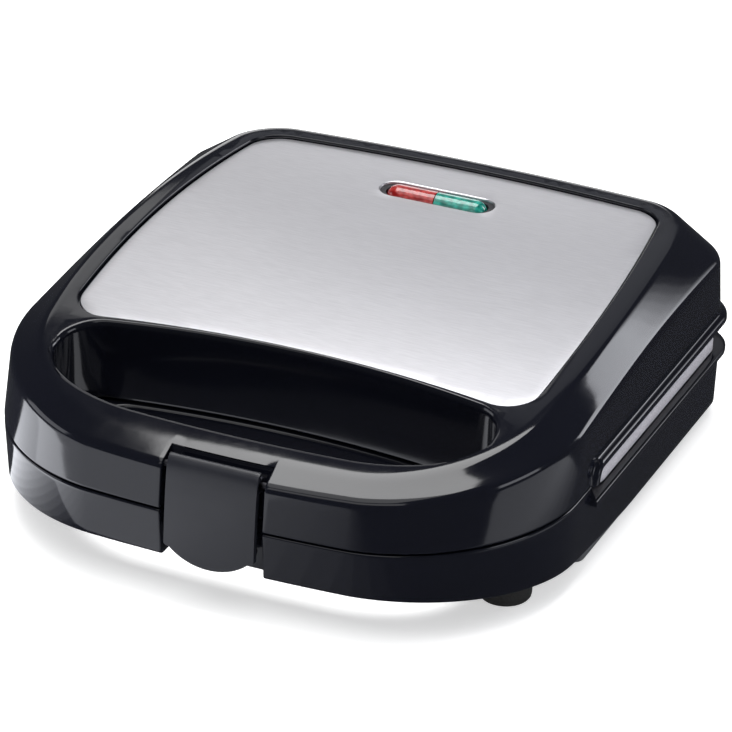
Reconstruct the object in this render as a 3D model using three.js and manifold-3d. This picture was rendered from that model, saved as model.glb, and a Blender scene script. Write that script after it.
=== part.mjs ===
// A two-slice panini press: a hinged lid over a base, each holding a ribbed cooking plate,
// a tubular heating element and a sheet reflector, held shut by a latch on the front handle.
// Millimetres. X points right, Y points back and Z points up. The origin is on the table,
// under the middle of the press.
import * as THREE from 'three';
import { mergeVertices } from 'three/addons/utils/BufferGeometryUtils.js';
import Module from 'manifold-3d';

const wasm = await Module();
wasm.setup();

// ---------------------------------------------------------------- driving dimensions

const HALF_WIDTH = 115; // centre line to the outside of a side wall
const FRONT = -124.2; // outside of the handle at the centre line
const BACK_CORNER = 109.5; // outside of the back wall at its corners
const WALL = 2.6; // wall thickness of both housings
const GAP = 0.35; // clearance between pieces that touch

const LID_EDGE = 37.1; // lower edge of the lid around the handle
const BASE_EDGE = 36.3; // upper edge of the base around the handle
const LID_RIM = 42.1; // underside of the lid's rim along the sides and the back
const BASE_RIM = 30.8; // top of the base's rim along the sides and the back
const RIM_OUT = 2.5; // how far both rims stand out from the walls
const LID_RIM_HEIGHT = 3.4;
const BASE_RIM_HEIGHT = 2.6;
const STEP_Y = -39; // where the handle ends and the rims begin
const DECK = 2.4; // thickness of the inner decks

const FRAME_RISE = 1.2; // height of the lid's frame over the steel panel
const PANEL_THICKNESS = 0.8;
const PANEL_GROOVE = 0.9; // gap around the steel panel

const BOTTOM_BACK = 5.3; // height of the base's lower edge at the back
const BOTTOM_RISE = 12; // how much higher that edge is at the front
const BOTTOM_RUN = 130; // depth over which it rises
const BOTTOM_POWER = 1.3;

const NOTCH_HALF = 20.7; // half width of the latch's notch in lid and base
const NOTCH_BACK = -115; // back wall of the notch
const LATCH_HALF = 18.2;
const LATCH_PIVOT = { y: -118.6, z: 53.6 };
const LATCH_BARREL = 3.2;
const LATCH_PIN = 1.4;

const HINGE = { y: 121.7, z: 39.7 }; // the lid turns about this line, parallel to X
const HINGE_RADIUS = 4.3;
const HINGE_PIN = 1.8;
const HINGE_X = [-68, 68];

const PLATE_HALF = 114; // cooking plates
const PLATE_FRONT = -31.3;
const PLATE_BACK = 99;
const PLATE_CORNER = 8;
const PLATE_LIP = 8; // width of the flat border around the ribs
const PLATE_BOSS_HALF = 100; // underside boss, which fits the opening in the deck
const PLATE_BOSS_FRONT = -17;
const PLATE_BOSS_BACK = 85;
const BOSS_CLEARANCE = 3;
const RIB_COUNT = 13;

const ELEMENT_RADIUS = 3.3; // tubular heating element
const ELEMENT_HALF = 72;
const ELEMENT_FRONT = 2;
const ELEMENT_BACK = 66;
const ELEMENT_BEND = 22;

const INDICATOR_Y = 79.5;
const INDICATOR_HALF = 17.6; // centre line to the centre of the slot's round end
const INDICATOR_RADIUS = 6.5;
const LENS_RADIUS = 5;
const LENS_HALF = 16.4;

const GLAND = { x: 92, z: 18, radius: 5.5, wallY: 114.1 };

const FOOT_RADIUS = 10;
const FOOT_X = 93.3;
const FOOT_Y = [-67.3, 78];

// Heights that follow the crown of the lid and the rake of its bevel.
const topZ = (y) => 77.2 + 0.0824 * (y - 8) - 0.0006 * (y - 8) ** 2;
const frameZ = (y) => topZ(y) + FRAME_RISE;
const bevelZ = (y) => 65.5 + 0.0748 * (y + 22) - 0.0003 * (y + 22) ** 2 - 0.00012 * Math.max(y, 0) ** 2;
const bottomZ = (y) => {
  const run = THREE.MathUtils.clamp((y - FRONT) / BOTTOM_RUN, 0, 1);
  return BOTTOM_BACK + BOTTOM_RISE * (1 - run) ** BOTTOM_POWER;
};

// Outlines seen from above. Each is symmetric about the centre line; `front` and `back` are
// where its edges start, the bows bend the edges, and the corners are set back by `...Round`.
const WALL_LINE = {
  front: FRONT, frontBow: 10.9, halfFront: HALF_WIDTH, frontRound: 61.8,
  halfBack: HALF_WIDTH, back: BACK_CORNER, backBow: 11, backRound: 14, bulge: 0,
};
const BEVEL_LINE = {
  ...WALL_LINE, front: -122.3, frontBow: 16, frontRound: 61, halfBack: 114, backRound: 17,
};
const FRAME_LINE = {
  front: -111.1, frontBow: 6, halfFront: 92.2, frontRound: 44.1,
  halfBack: 92.5, back: 112.3, backBow: 5.2, backRound: 16.1, bulge: 12,
};
const PANEL_LINE = {
  front: -47.1, frontBow: -9.2, halfFront: 93.5, frontRound: 14.7,
  halfBack: 86, back: 102.9, backBow: 5, backRound: 10.9, bulge: 5.1,
};
const LID_HOLE_LINE = {
  front: -101.7, frontBow: 5, halfFront: 89, frontRound: 44,
  halfBack: 88, back: -59.5, backBow: 9.5, backRound: 12, bulge: 0,
};
const BASE_HOLE_LINE = {
  front: -100.7, frontBow: 4, halfFront: 78, frontRound: 38,
  halfBack: 77, back: -58, backBow: 7.5, backRound: 12, bulge: 0,
};

// ---------------------------------------------------------------- outlines

const CORNER_TENSION = 0.5523; // makes a cubic curve follow a round corner

function halfOutline(line) {
  const frontMid = new THREE.Vector2(0, line.front);
  const frontCorner = new THREE.Vector2(line.halfFront, line.front + line.frontBow);
  const backCorner = new THREE.Vector2(line.halfBack, line.back);
  const backMid = new THREE.Vector2(0, line.back + line.backBow);
  const side = backCorner.clone().sub(frontCorner);
  const outward = new THREE.Vector2(side.y, -side.x).normalize();
  const sideMid = frontCorner.clone().add(backCorner).multiplyScalar(0.5);
  sideMid.addScaledVector(outward, 2 * line.bulge);

  const frontPull = new THREE.Vector2(line.halfFront / 2, line.front);
  const backPull = new THREE.Vector2(line.halfBack / 2, line.back + line.backBow);
  const front = new THREE.QuadraticBezierCurve(frontMid, frontPull, frontCorner);
  const flank = new THREE.QuadraticBezierCurve(frontCorner, sideMid, backCorner);
  const back = new THREE.QuadraticBezierCurve(backCorner, backPull, backMid);

  const frontEnd = 1 - Math.min(line.frontRound / Math.hypot(line.halfFront, line.frontBow), 0.95);
  const flankStart = Math.min(line.frontRound / side.length(), 0.6);
  const flankEnd = 1 - Math.min(line.backRound / side.length(), 0.35);
  const backStart = Math.min(line.backRound / line.halfBack, 0.9);

  return [
    ...stretch(front, 0, frontEnd, 5),
    ...corner(front.getPoint(frontEnd), frontCorner, flank.getPoint(flankStart), 8),
    ...stretch(flank, flankStart, flankEnd, 6),
    ...corner(flank.getPoint(flankEnd), backCorner, back.getPoint(backStart), 5),
    ...stretch(back, backStart, 1, 5),
    backMid,
  ];
}

// Points along part of a curve, without its last one.
function stretch(curve, start, end, count) {
  return Array.from({ length: count }, (_, i) => curve.getPoint(start + ((end - start) * i) / count));
}

// Points round a corner, without the last one.
function corner(start, tip, end, count) {
  const startPull = start.clone().lerp(tip, CORNER_TENSION);
  const endPull = end.clone().lerp(tip, CORNER_TENSION);
  return stretch(new THREE.CubicBezierCurve(start, startPull, endPull, end), 0, 1, count);
}

// The whole outline, anticlockwise from the front of the centre line.
function outline(line) {
  const right = halfOutline(line);
  const left = right.slice(1, -1).reverse().map((point) => new THREE.Vector2(-point.x, point.y));
  return [...right, ...left];
}

// The outline moved outwards by a distance, or inwards by a negative one.
function grow(points, distance) {
  return points.map((point, i) => {
    const before = points[(i + points.length - 1) % points.length];
    const after = points[(i + 1) % points.length];
    const along = after.clone().sub(before).normalize();
    return new THREE.Vector2(point.x + along.y * distance, point.y - along.x * distance);
  });
}

function roundedRectangle(halfWidth, front, back, radius) {
  const shape = new THREE.Shape();
  shape.moveTo(-halfWidth + radius, front);
  shape.lineTo(halfWidth - radius, front);
  shape.absarc(halfWidth - radius, front + radius, radius, -Math.PI / 2, 0);
  shape.lineTo(halfWidth, back - radius);
  shape.absarc(halfWidth - radius, back - radius, radius, 0, Math.PI / 2);
  shape.lineTo(-halfWidth + radius, back);
  shape.absarc(-halfWidth + radius, back - radius, radius, Math.PI / 2, Math.PI);
  shape.lineTo(-halfWidth, front + radius);
  shape.absarc(-halfWidth + radius, front + radius, radius, Math.PI, 1.5 * Math.PI);
  return shape.extractPoints(3).shape;
}

function capsule(half, radius) {
  const shape = new THREE.Shape();
  shape.absarc(half, INDICATOR_Y, radius, -Math.PI / 2, Math.PI / 2);
  shape.absarc(-half, INDICATOR_Y, radius, Math.PI / 2, 1.5 * Math.PI);
  return shape.extractPoints(6).shape;
}

// ---------------------------------------------------------------- solids

function toSolid(geometry) {
  geometry.deleteAttribute('normal');
  geometry.deleteAttribute('uv');
  const merged = mergeVertices(geometry, 1e-4);
  const mesh = new wasm.Mesh({
    numProp: 3,
    vertProperties: new Float32Array(merged.attributes.position.array),
    triVerts: new Uint32Array(merged.index.array),
  });
  return new wasm.Manifold(mesh);
}

// A skin through rings of equal length, closed below and above by rungs from right to left.
function loft(rings) {
  const count = rings[0].length;
  const half = count / 2;
  const index = [];
  for (let k = 0; k + 1 < rings.length; k += 1) {
    for (let j = 0; j < count; j += 1) {
      const a = k * count + j;
      const b = k * count + ((j + 1) % count);
      index.push(a, b, b + count, a, b + count, a + count);
    }
  }
  const cap = (start, up) => {
    const face = (a, b, c) => index.push(start + a, start + (up ? b : c), start + (up ? c : b));
    face(0, 1, count - 1);
    for (let i = 1; i + 1 < half; i += 1) {
      face(count - i, i, i + 1);
      face(count - i, i + 1, count - i - 1);
    }
    face(half + 1, half - 1, half);
  };
  cap(0, false);
  cap((rings.length - 1) * count, true);
  const geometry = new THREE.BufferGeometry();
  const coordinates = rings.flat().flatMap((p) => [p.x, p.y, p.z]);
  geometry.setAttribute('position', new THREE.Float32BufferAttribute(coordinates, 3));
  geometry.setIndex(index);
  return toSolid(geometry);
}

const ring = (points, height) => points.map((p) => new THREE.Vector3(p.x, p.y, height(p.y)));

function prism(points, low, high) {
  const shape = new THREE.Shape(points);
  const geometry = new THREE.ExtrudeGeometry(shape, { depth: high - low, bevelEnabled: false });
  geometry.translate(0, 0, low);
  return toSolid(geometry);
}

// A side profile of [y, z] points, extruded from x = -half to x = half.
function slab(profile, half) {
  const shape = new THREE.Shape(profile.map(([y, z]) => new THREE.Vector2(y, z)));
  const geometry = new THREE.ExtrudeGeometry(shape, { depth: 2 * half, bevelEnabled: false });
  geometry.translate(0, 0, -half);
  geometry.applyMatrix4(new THREE.Matrix4().set(0, 0, 1, 0, 1, 0, 0, 0, 0, 1, 0, 0, 0, 0, 0, 1));
  return toSolid(geometry);
}

function box(x0, x1, y0, y1, z0, z1) {
  const geometry = new THREE.BoxGeometry(x1 - x0, y1 - y0, z1 - z0);
  geometry.translate((x0 + x1) / 2, (y0 + y1) / 2, (z0 + z1) / 2);
  return toSolid(geometry);
}

function rodX(radius, x0, x1, y, z, sides = 16) {
  const geometry = new THREE.CylinderGeometry(radius, radius, x1 - x0, sides);
  geometry.rotateZ(Math.PI / 2);
  geometry.translate((x0 + x1) / 2, y, z);
  return toSolid(geometry);
}

function rodY(radius, y0, y1, x, z, sides) {
  const geometry = new THREE.CylinderGeometry(radius, radius, y1 - y0, sides);
  geometry.translate(x, (y0 + y1) / 2, z);
  return toSolid(geometry);
}

// A round column from low to high; its radius may change.
function column(x, y, low, high, radiusLow, radiusHigh = radiusLow, sides = 20) {
  const geometry = new THREE.CylinderGeometry(radiusHigh, radiusLow, high - low, sides);
  geometry.rotateX(Math.PI / 2);
  geometry.translate(x, y, (low + high) / 2);
  return toSolid(geometry);
}

function tube(points, radius, steps) {
  const path = new THREE.CatmullRomCurve3(points, false, 'centripetal');
  const section = new THREE.Shape();
  section.absarc(0, 0, radius, 0, 2 * Math.PI);
  const options = { steps, curveSegments: 4, bevelEnabled: false, extrudePath: path };
  return toSolid(new THREE.ExtrudeGeometry(section, options));
}

// A thin plate that follows a height line, cut to an outline.
function sheet(points, height, thickness, from, to, steps = 10) {
  const upper = Array.from({ length: steps + 1 }, (_, i) => {
    const y = to + ((from - to) * i) / steps;
    return [y, height(y)];
  });
  const lower = upper.map(([y, z]) => [y, z - thickness]).reverse();
  return slab([...lower, ...upper], 130).intersect(prism(points, -5, 95));
}

const unite = (solids) => solids.reduce((sum, solid) => sum.add(solid));

// ---------------------------------------------------------------- materials

function finish(color, roughness, metalness) {
  return new THREE.MeshStandardMaterial({ color, roughness, metalness });
}
const glossBlack = () => finish(0x0b0c10, 0.12, 0);
const satinBlack = () => finish(0x1c1c20, 0.4, 0);
const matteBlack = () => finish(0x17171a, 0.7, 0);
const brushedSteel = () => finish(0xc9c8cb, 0.32, 1);
const brightSteel = () => finish(0xb9bcc0, 0.3, 1);
const coatedPlate = () => finish(0x2b2b2d, 0.5, 0.3);
const elementSteel = () => finish(0x6f6a62, 0.45, 1);
const aluminium = () => finish(0xb4b6ba, 0.4, 1);
const rubber = () => finish(0x141414, 0.9, 0);
const ceramic = () => finish(0xe8e4da, 0.6, 0);

// ---------------------------------------------------------------- lid

const wallOutline = outline(WALL_LINE);
const wallInside = grow(wallOutline, -WALL);

function lidBody() {
  return loft([
    ring(wallOutline, () => LID_EDGE),
    ring(outline(BEVEL_LINE), bevelZ),
    ring(outline(FRAME_LINE), frameZ),
  ]);
}

function lidHousing() {
  const body = lidBody();
  const cavity = loft([
    ring(wallInside, () => LID_EDGE - 5),
    ring(wallInside, () => LID_EDGE + GAP + DECK + GAP),
    ring(grow(outline(BEVEL_LINE), -WALL), (y) => bevelZ(y) - 1),
    ring(grow(outline(FRAME_LINE), -1.5), (y) => frameZ(y) - WALL - PANEL_THICKNESS),
  ]);
  const hole = outline(LID_HOLE_LINE);
  const holeWall = prism(grow(hole, WALL), LID_EDGE, 90);
  const inside = unite([holeWall, notchRoom(WALL, LID_EDGE, 90)]).intersect(body);
  const fingerSlope = [[NOTCH_BACK, 50], [-111.1, 60], [-111.1, 80]];
  const notch = slab([[-140, 30], [NOTCH_BACK, 30], ...fingerSlope, [-140, 80]], NOTCH_HALF);
  const seat = grow(outline(PANEL_LINE), PANEL_GROOVE);
  const recess = sheet(seat, (y) => topZ(y) + 5, 5 + PANEL_THICKNESS + GAP, -60, 112);
  const indicatorHole = prism(capsule(INDICATOR_HALF + 1, INDICATOR_RADIUS + 1), 70, 90);
  return body.subtract(cavity).add(inside)
    .subtract(prism(hole, 20, 90))
    .subtract(notch)
    .subtract(box(-140, 140, STEP_Y, 140, 20, LID_RIM))
    .subtract(recess)
    .subtract(indicatorHole)
    .add(rim(LID_RIM, LID_RIM + LID_RIM_HEIGHT))
    .subtract(latchRod(LATCH_PIN + 0.3, NOTCH_HALF + 1.8, 12));
}

// The upright room behind the latch, grown by a distance.
function notchRoom(by, low, high) {
  return box(-NOTCH_HALF - by, NOTCH_HALF + by, -140, NOTCH_BACK + by, low, high);
}

// A rod on the latch's pivot line.
function latchRod(radius, half, sides) {
  return rodX(radius, -half, half, LATCH_PIVOT.y, LATCH_PIVOT.z, sides);
}

// The rim that stands out around the sides and the back, with room for the hinges.
function rim(low, high) {
  const band = prism(grow(wallOutline, RIM_OUT), low, high)
    .subtract(prism(wallInside, low - 1, high + 1));
  const rooms = unite(HINGE_X.map((x) => box(x - 15.5, x + 15.5, 100, 140, low - 1, high + 1)));
  return band.intersect(box(-140, 140, STEP_Y, 140, low - 1, high + 1)).subtract(rooms);
}

function topPanel() {
  return sheet(outline(PANEL_LINE), topZ, PANEL_THICKNESS, -60, 112)
    .subtract(prism(capsule(INDICATOR_HALF, INDICATOR_RADIUS), 60, 90));
}

// Closes the lid's underside around the plate and under the handle.
function lidInnerFrame() {
  const front = LID_EDGE + GAP;
  const deckStart = STEP_Y + 2 + GAP;
  const deck = LID_RIM + GAP;
  const underside = [[-130, front], [deckStart, front], [deckStart, deck], [130, deck]];
  const top = deck + DECK;
  const upperside = [[130, top], [STEP_Y, top], [STEP_Y, front + DECK], [-130, front + DECK]];
  return slab([...underside, ...upperside], 130)
    .intersect(prism(grow(wallInside, -GAP), 20, 60))
    .subtract(prism(grow(outline(LID_HOLE_LINE), WALL + GAP), 20, 60))
    .subtract(notchRoom(WALL + GAP, 20, 60))
    .subtract(deckOpening());
}

function deckOpening() {
  const c = BOSS_CLEARANCE;
  const room = roundedRectangle(PLATE_BOSS_HALF + c, PLATE_BOSS_FRONT - c, PLATE_BOSS_BACK + c, 8);
  return prism(room, 20, 60);
}

// ---------------------------------------------------------------- cooking plates

// One plate, made lying face up with the underside of its lip at z = 0.
function grillPlate(lipHeight, trayDepth, bossDepth) {
  const lip = prism(roundedRectangle(PLATE_HALF, PLATE_FRONT, PLATE_BACK, PLATE_CORNER), 0, lipHeight);
  const bossOutline = roundedRectangle(PLATE_BOSS_HALF, PLATE_BOSS_FRONT, PLATE_BOSS_BACK, 6);
  const boss = prism(bossOutline, -bossDepth, 0.1);
  const tray = prism(
    roundedRectangle(PLATE_HALF - PLATE_LIP, PLATE_FRONT + PLATE_LIP, PLATE_BACK - PLATE_LIP, 6),
    lipHeight - trayDepth, lipHeight + 5);
  const underside = prism(
    roundedRectangle(PLATE_BOSS_HALF - 3, PLATE_BOSS_FRONT + 3, PLATE_BOSS_BACK - 3, 4),
    -bossDepth - 1, lipHeight - trayDepth - 2.6);
  const ribs = Array.from({ length: RIB_COUNT }, (_, i) => grillRib(i, lipHeight - trayDepth, trayDepth));
  return unite([lip.add(boss).subtract(tray).subtract(underside), ...ribs]);
}

function grillRib(i, floor, depth) {
  const pitch = (2 * (PLATE_HALF - PLATE_LIP) - 12) / (RIB_COUNT - 1);
  const x = (i - (RIB_COUNT - 1) / 2) * pitch;
  const front = PLATE_FRONT + PLATE_LIP + 5;
  const back = PLATE_BACK - PLATE_LIP - 5;
  const shape = new THREE.Shape([[-3.2, -0.5], [3.2, -0.5], [2.2, depth - 0.7], [-2.2, depth - 0.7]]
    .map(([u, v]) => new THREE.Vector2(u, v)));
  const geometry = new THREE.ExtrudeGeometry(shape, { depth: back - front, bevelEnabled: false });
  geometry.rotateX(Math.PI / 2);
  geometry.translate(x, back, floor);
  return toSolid(geometry);
}

const lowerPlate = () => grillPlate(6.2, 3.4, 3).translate([0, 0, BASE_RIM + GAP]);
const upperPlate = () => grillPlate(3.9, 2, 3.6).rotate([180, 0, 0])
  .translate([0, PLATE_FRONT + PLATE_BACK, LID_RIM - GAP]);

// ---------------------------------------------------------------- heating

// A U-shaped element with both ends turned to the right, where its terminals are.
function heatingElement(z) {
  const h = ELEMENT_HALF;
  const b = ELEMENT_BEND;
  const path = [[h + 20, ELEMENT_BACK], [h - b, ELEMENT_BACK], [0, ELEMENT_BACK], [b - h, ELEMENT_BACK],
    [-h, (ELEMENT_FRONT + ELEMENT_BACK) / 2], [b - h, ELEMENT_FRONT], [0, ELEMENT_FRONT],
    [h - b, ELEMENT_FRONT], [h + 20, ELEMENT_FRONT]];
  return tube(path.map(([x, y]) => new THREE.Vector3(x, y, z)), ELEMENT_RADIUS, 34);
}

function terminal(y, z) {
  const x = ELEMENT_HALF + 20 + GAP;
  const tab = box(x + 5.9, x + 12, y - 0.5, y + 0.5, z - 2.4, z + 2.4);
  return box(x, x + 6, y - 3, y + 3, z - 2.5, z + 2.5).add(tab);
}

// A shallow sheet-metal pan behind the element.
function reflector(floor, rise) {
  const outside = roundedRectangle(PLATE_BOSS_HALF - 1, PLATE_BOSS_FRONT + 4, PLATE_BOSS_BACK - 4, 8);
  const inside = roundedRectangle(PLATE_BOSS_HALF - 2, PLATE_BOSS_FRONT + 5, PLATE_BOSS_BACK - 5, 7);
  const skin = Math.sign(rise);
  const z = [floor, floor + rise].sort((a, b) => a - b);
  const hollow = skin > 0 ? [floor + 1, z[1] + 1] : [z[0] - 1, floor - 1];
  const slot = skin > 0 ? [floor + 3, z[1] + 1] : [z[0] - 1, floor - 3];
  const leadSlots = [ELEMENT_FRONT, ELEMENT_BACK].map((y) => box(90, 105, y - 4.5, y + 4.5, ...slot));
  return prism(outside, z[0], z[1])
    .subtract(prism(inside, hollow[0], hollow[1]))
    .subtract(unite(leadSlots));
}

function thermostat(z) {
  return column(-30, 34, z, z + 6, 9).add(box(-36, -24, 22, 46, z + 1.5, z + 3.5));
}

const thermalFuse = (z) => rodX(2.2, 18, 34, 34, z, 12).add(rodX(0.8, 10, 42, 34, z, 8));

// ---------------------------------------------------------------- indicator

function indicatorBezel() {
  const low = topZ(INDICATOR_Y) - 7;
  const flange = sheet(capsule(INDICATOR_HALF + 0.6, INDICATOR_RADIUS + 0.6),
    (y) => topZ(y) - PANEL_THICKNESS - GAP, 1.4, 60, 100);
  const sleeve = prism(capsule(LENS_HALF, LENS_RADIUS + 1.3), low, topZ(INDICATOR_Y) - 2.2);
  return flange.add(sleeve).subtract(prism(capsule(LENS_HALF, LENS_RADIUS + GAP), low - 1, 90));
}

// Half of the lens: a domed bar with a round end, on the side given by +1 or -1.
function lens(side) {
  const base = topZ(INDICATOR_Y) - 6;
  const crown = topZ(INDICATOR_Y) - 3.4;
  const bar = rodX(LENS_RADIUS, -LENS_HALF, LENS_HALF, INDICATOR_Y, crown, 24);
  const ends = [-LENS_HALF, LENS_HALF].map((x) => {
    const ball = new THREE.SphereGeometry(LENS_RADIUS, 24, 12);
    ball.rotateX(Math.PI / 2);
    ball.translate(x, INDICATOR_Y, crown);
    return toSolid(ball);
  });
  const body = unite([bar, ...ends]).add(prism(capsule(LENS_HALF, LENS_RADIUS), base, crown));
  const room = side < 0 ? box(-40, -GAP / 2, 60, 100, base, 95) : box(GAP / 2, 40, 60, 100, base, 95);
  return body.intersect(room);
}

function lampHolder() {
  const z = topZ(INDICATOR_Y) - 17;
  const cups = [-9, 9].map((x) => column(x, INDICATOR_Y, z, z + 7, 4.2));
  return unite([box(-24, 24, INDICATOR_Y - 6, INDICATOR_Y + 6, z - 1.6, z + 0.1), ...cups])
    .subtract(unite([-9, 9].map((x) => column(x, INDICATOR_Y, z + 1, z + 9, 3.1, 3.1, 12))));
}

function lamp(x) {
  const z = topZ(INDICATOR_Y) - 15.6;
  const profile = [[0, 0], [2.7, 0], [2.7, 5.4], [2, 7.2], [0.8, 8.2], [0, 8.4]];
  const geometry = new THREE.LatheGeometry(profile.map(([r, h]) => new THREE.Vector2(r, h)), 12);
  geometry.rotateX(Math.PI / 2);
  geometry.translate(x, INDICATOR_Y, z);
  return toSolid(geometry);
}

// ---------------------------------------------------------------- base

const bottomOutline = grow(wallOutline, -1.2);

function baseBody() {
  return loft([ring(bottomOutline, bottomZ), ring(wallOutline, () => BASE_EDGE)]);
}

function baseHousing() {
  const body = baseBody();
  const inside = grow(bottomOutline, -WALL);
  const cavity = prism(inside, -10, BASE_RIM - DECK)
    .add(prism(inside, -10, BASE_EDGE - DECK).intersect(box(-140, 140, -140, STEP_Y - WALL, -20, 50)));
  const hole = outline(BASE_HOLE_LINE);
  const holeWall = prism(grow(hole, WALL), 0, BASE_EDGE);
  const walls = unite([holeWall, notchRoom(WALL, 0, BASE_EDGE)]).intersect(body);
  return body.subtract(cavity).add(walls)
    .subtract(prism(hole, -10, 60))
    .subtract(notchRoom(0, -10, 60))
    .subtract(box(-140, 140, STEP_Y, 140, BASE_RIM, 60))
    .add(rim(BASE_RIM - BASE_RIM_HEIGHT, BASE_RIM))
    .subtract(deckOpening())
    .subtract(rodY(GLAND.radius + GAP, GLAND.wallY - 8, GLAND.wallY + 8, GLAND.x, GLAND.z, 20));
}

// The cover under the base, with cooling slots.
function bottomCover() {
  const height = (y) => bottomZ(y) + 3.4;
  const room = grow(bottomOutline, -WALL - GAP);
  const slots = Array.from({ length: 7 }, (_, i) => box(-42, 42, 12 + 9 * i, 16 + 9 * i, 0, 40));
  return sheet(room, height, 2.2, -126, 126, 14)
    .subtract(prism(grow(outline(BASE_HOLE_LINE), WALL + GAP), -10, 60))
    .subtract(notchRoom(WALL + GAP, -10, 60))
    .subtract(unite(slots));
}

// Everything up to the sloping underside of the cover, between two depths.
function underCover(from, to) {
  const room = roundedRectangle(HALF_WIDTH, from, to, 1);
  return sheet(room, (y) => bottomZ(y) + 1.2 - GAP, 30, from, to, 6);
}

function foot(x, y) {
  const reach = FOOT_RADIUS + 2;
  return column(x, y, 0, 1.2, FOOT_RADIUS - 0.8, FOOT_RADIUS, 24)
    .add(column(x, y, 1.1, 16, FOOT_RADIUS, FOOT_RADIUS + 0.8, 24))
    .intersect(underCover(y - reach, y + reach));
}

// One of the two long rails under the sides, which the cord is wound around.
function cordRail(side) {
  return prism(roundedRectangle(5, -37, 18.5, 4.9), 0.7, 30)
    .translate([side * 105.8, 0, 0])
    .intersect(underCover(-40, 22));
}

// The bushing in the back wall where the supply lead enters.
function cordGland() {
  const { x, z, radius, wallY } = GLAND;
  return rodY(radius, wallY - 10, wallY + 4.4, x, z, 20)
    .add(rodY(radius + 2, wallY + 1.6, wallY + 4.4, x, z, 20))
    .subtract(rodY(3.4, wallY - 12, wallY + 6, x, z, 12));
}

function terminalBlock() {
  const posts = [58, 68, 78].map((x) => column(x, 92, 17.9, 21.5, 2.6, 2.6, 10));
  return unite([box(52, 84, 87, 97, 10, 18), ...posts]);
}

// ---------------------------------------------------------------- latch

function latch() {
  const profile = [
    [-119.6, 58.9], [-121.6, 57.4], [-122.6, 54.5], [-124.0, 45], [-125.6, 27], [-126, 15],
    [-122.9, 15], [-122.6, 25.6], [-119.6, 25.6], [-119.6, 27.6], [-122.4, 28.6], [-121, 45],
    [-118.2, 53.2],
  ];
  const plate = slab(profile, LATCH_HALF).add(latchRod(LATCH_BARREL, LATCH_HALF, 20));
  const tongue = new THREE.Shape();
  tongue.moveTo(-LATCH_HALF, 70);
  tongue.lineTo(-LATCH_HALF, 24.4);
  tongue.lineTo(-LATCH_HALF + 2.4, 23.2);
  tongue.quadraticCurveTo(-9, 17.4, 0, 17.4);
  tongue.quadraticCurveTo(9, 17.4, LATCH_HALF - 2.4, 23.2);
  tongue.lineTo(LATCH_HALF, 24.4);
  tongue.lineTo(LATCH_HALF, 70);
  const cutter = new THREE.ExtrudeGeometry(tongue, { depth: 40, bevelEnabled: false, curveSegments: 8 });
  cutter.rotateX(Math.PI / 2);
  cutter.translate(0, -100, 0);
  return plate.intersect(toSolid(cutter))
    .subtract(latchRod(LATCH_PIN + 0.15, LATCH_HALF + 1, 16));
}

const latchPin = () => latchRod(LATCH_PIN, NOTCH_HALF + 1.4, 16);

// The bar on the base that the latch's lip snaps under.
const latchCatch = () => slab([[NOTCH_BACK - GAP, 29], [NOTCH_BACK - GAP, 33], [-117.5, 33], [-119.2, 31],
  [-119.2, 29.6], [-118, 28.4], [-116.5, 28.4]], 8);

// ---------------------------------------------------------------- hinge

const HINGE_FRONT = 114; // the hinge plates reach in to here, up to the back wall

// A base knuckle: two ears on a foot against the base's back wall.
function baseHinge(x) {
  const rear = HINGE.y + HINGE_RADIUS - 0.6;
  const ear = (x0) => rodX(HINGE_RADIUS, x0, x0 + 5, HINGE.y, HINGE.z, 20)
    .add(box(x0, x0 + 5, HINGE_FRONT, rear, 24, HINGE.z));
  return unite([ear(x - 13), ear(x + 8), box(x - 13, x + 13, HINGE_FRONT, rear, 18, 27.5)])
    .subtract(prism(grow(wallOutline, GAP), 10, 60))
    .subtract(hingeBore(x));
}

// A lid knuckle between the two ears, with an arm up the lid's back wall.
function lidHinge(x) {
  return rodX(HINGE_RADIUS, x - 7.6, x + 7.6, HINGE.y, HINGE.z, 20)
    .add(box(x - 7.6, x + 7.6, HINGE_FRONT, HINGE.y + 2.4, HINGE.z + 1.4, 60))
    .subtract(prism(grow(wallOutline, GAP), 10, 70))
    .subtract(hingeBore(x));
}

const hingeBore = (x) => rodX(HINGE_PIN + 0.05, x - 20, x + 20, HINGE.y, HINGE.z, 16);

const hingePin = (x) => rodX(HINGE_PIN, x - 13.6, x + 13.6, HINGE.y, HINGE.z, 16);

// ---------------------------------------------------------------- assembly

const press = new THREE.Group();

function place(name, solid, material) {
  const data = solid.getMesh();
  const geometry = new THREE.BufferGeometry();
  const positions = new Float32Array((data.vertProperties.length / data.numProp) * 3);
  for (let i = 0; i < positions.length / 3; i += 1) {
    positions.set(data.vertProperties.slice(i * data.numProp, i * data.numProp + 3), i * 3);
  }
  geometry.setAttribute('position', new THREE.BufferAttribute(positions, 3));
  geometry.setIndex(new THREE.BufferAttribute(new Uint32Array(data.triVerts), 1));
  geometry.computeVertexNormals();
  const mesh = new THREE.Mesh(geometry, material);
  mesh.name = name;
  press.add(mesh);
}

const LOWER_ELEMENT_Z = 24.5;
const UPPER_ELEMENT_Z = 49.6;
const SIDES = [['left', -1], ['right', 1]];

place('lid_housing', lidHousing(), glossBlack());
place('top_panel', topPanel(), brushedSteel());
place('lid_inner_frame', lidInnerFrame(), matteBlack());
place('upper_grill_plate', upperPlate(), coatedPlate());
place('upper_heating_element', heatingElement(UPPER_ELEMENT_Z), elementSteel());
place('upper_reflector', reflector(57, -9), aluminium());
place('indicator_bezel', indicatorBezel(), satinBlack());
place('red_lens', lens(-1), finish(0xc3322c, 0.15, 0));
place('green_lens', lens(1), finish(0x1fa98c, 0.15, 0));
place('lamp_holder', lampHolder(), matteBlack());
place('power_lamp', lamp(-9), finish(0xe0523a, 0.2, 0));
place('ready_lamp', lamp(9), finish(0x4fc79a, 0.2, 0));

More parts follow.
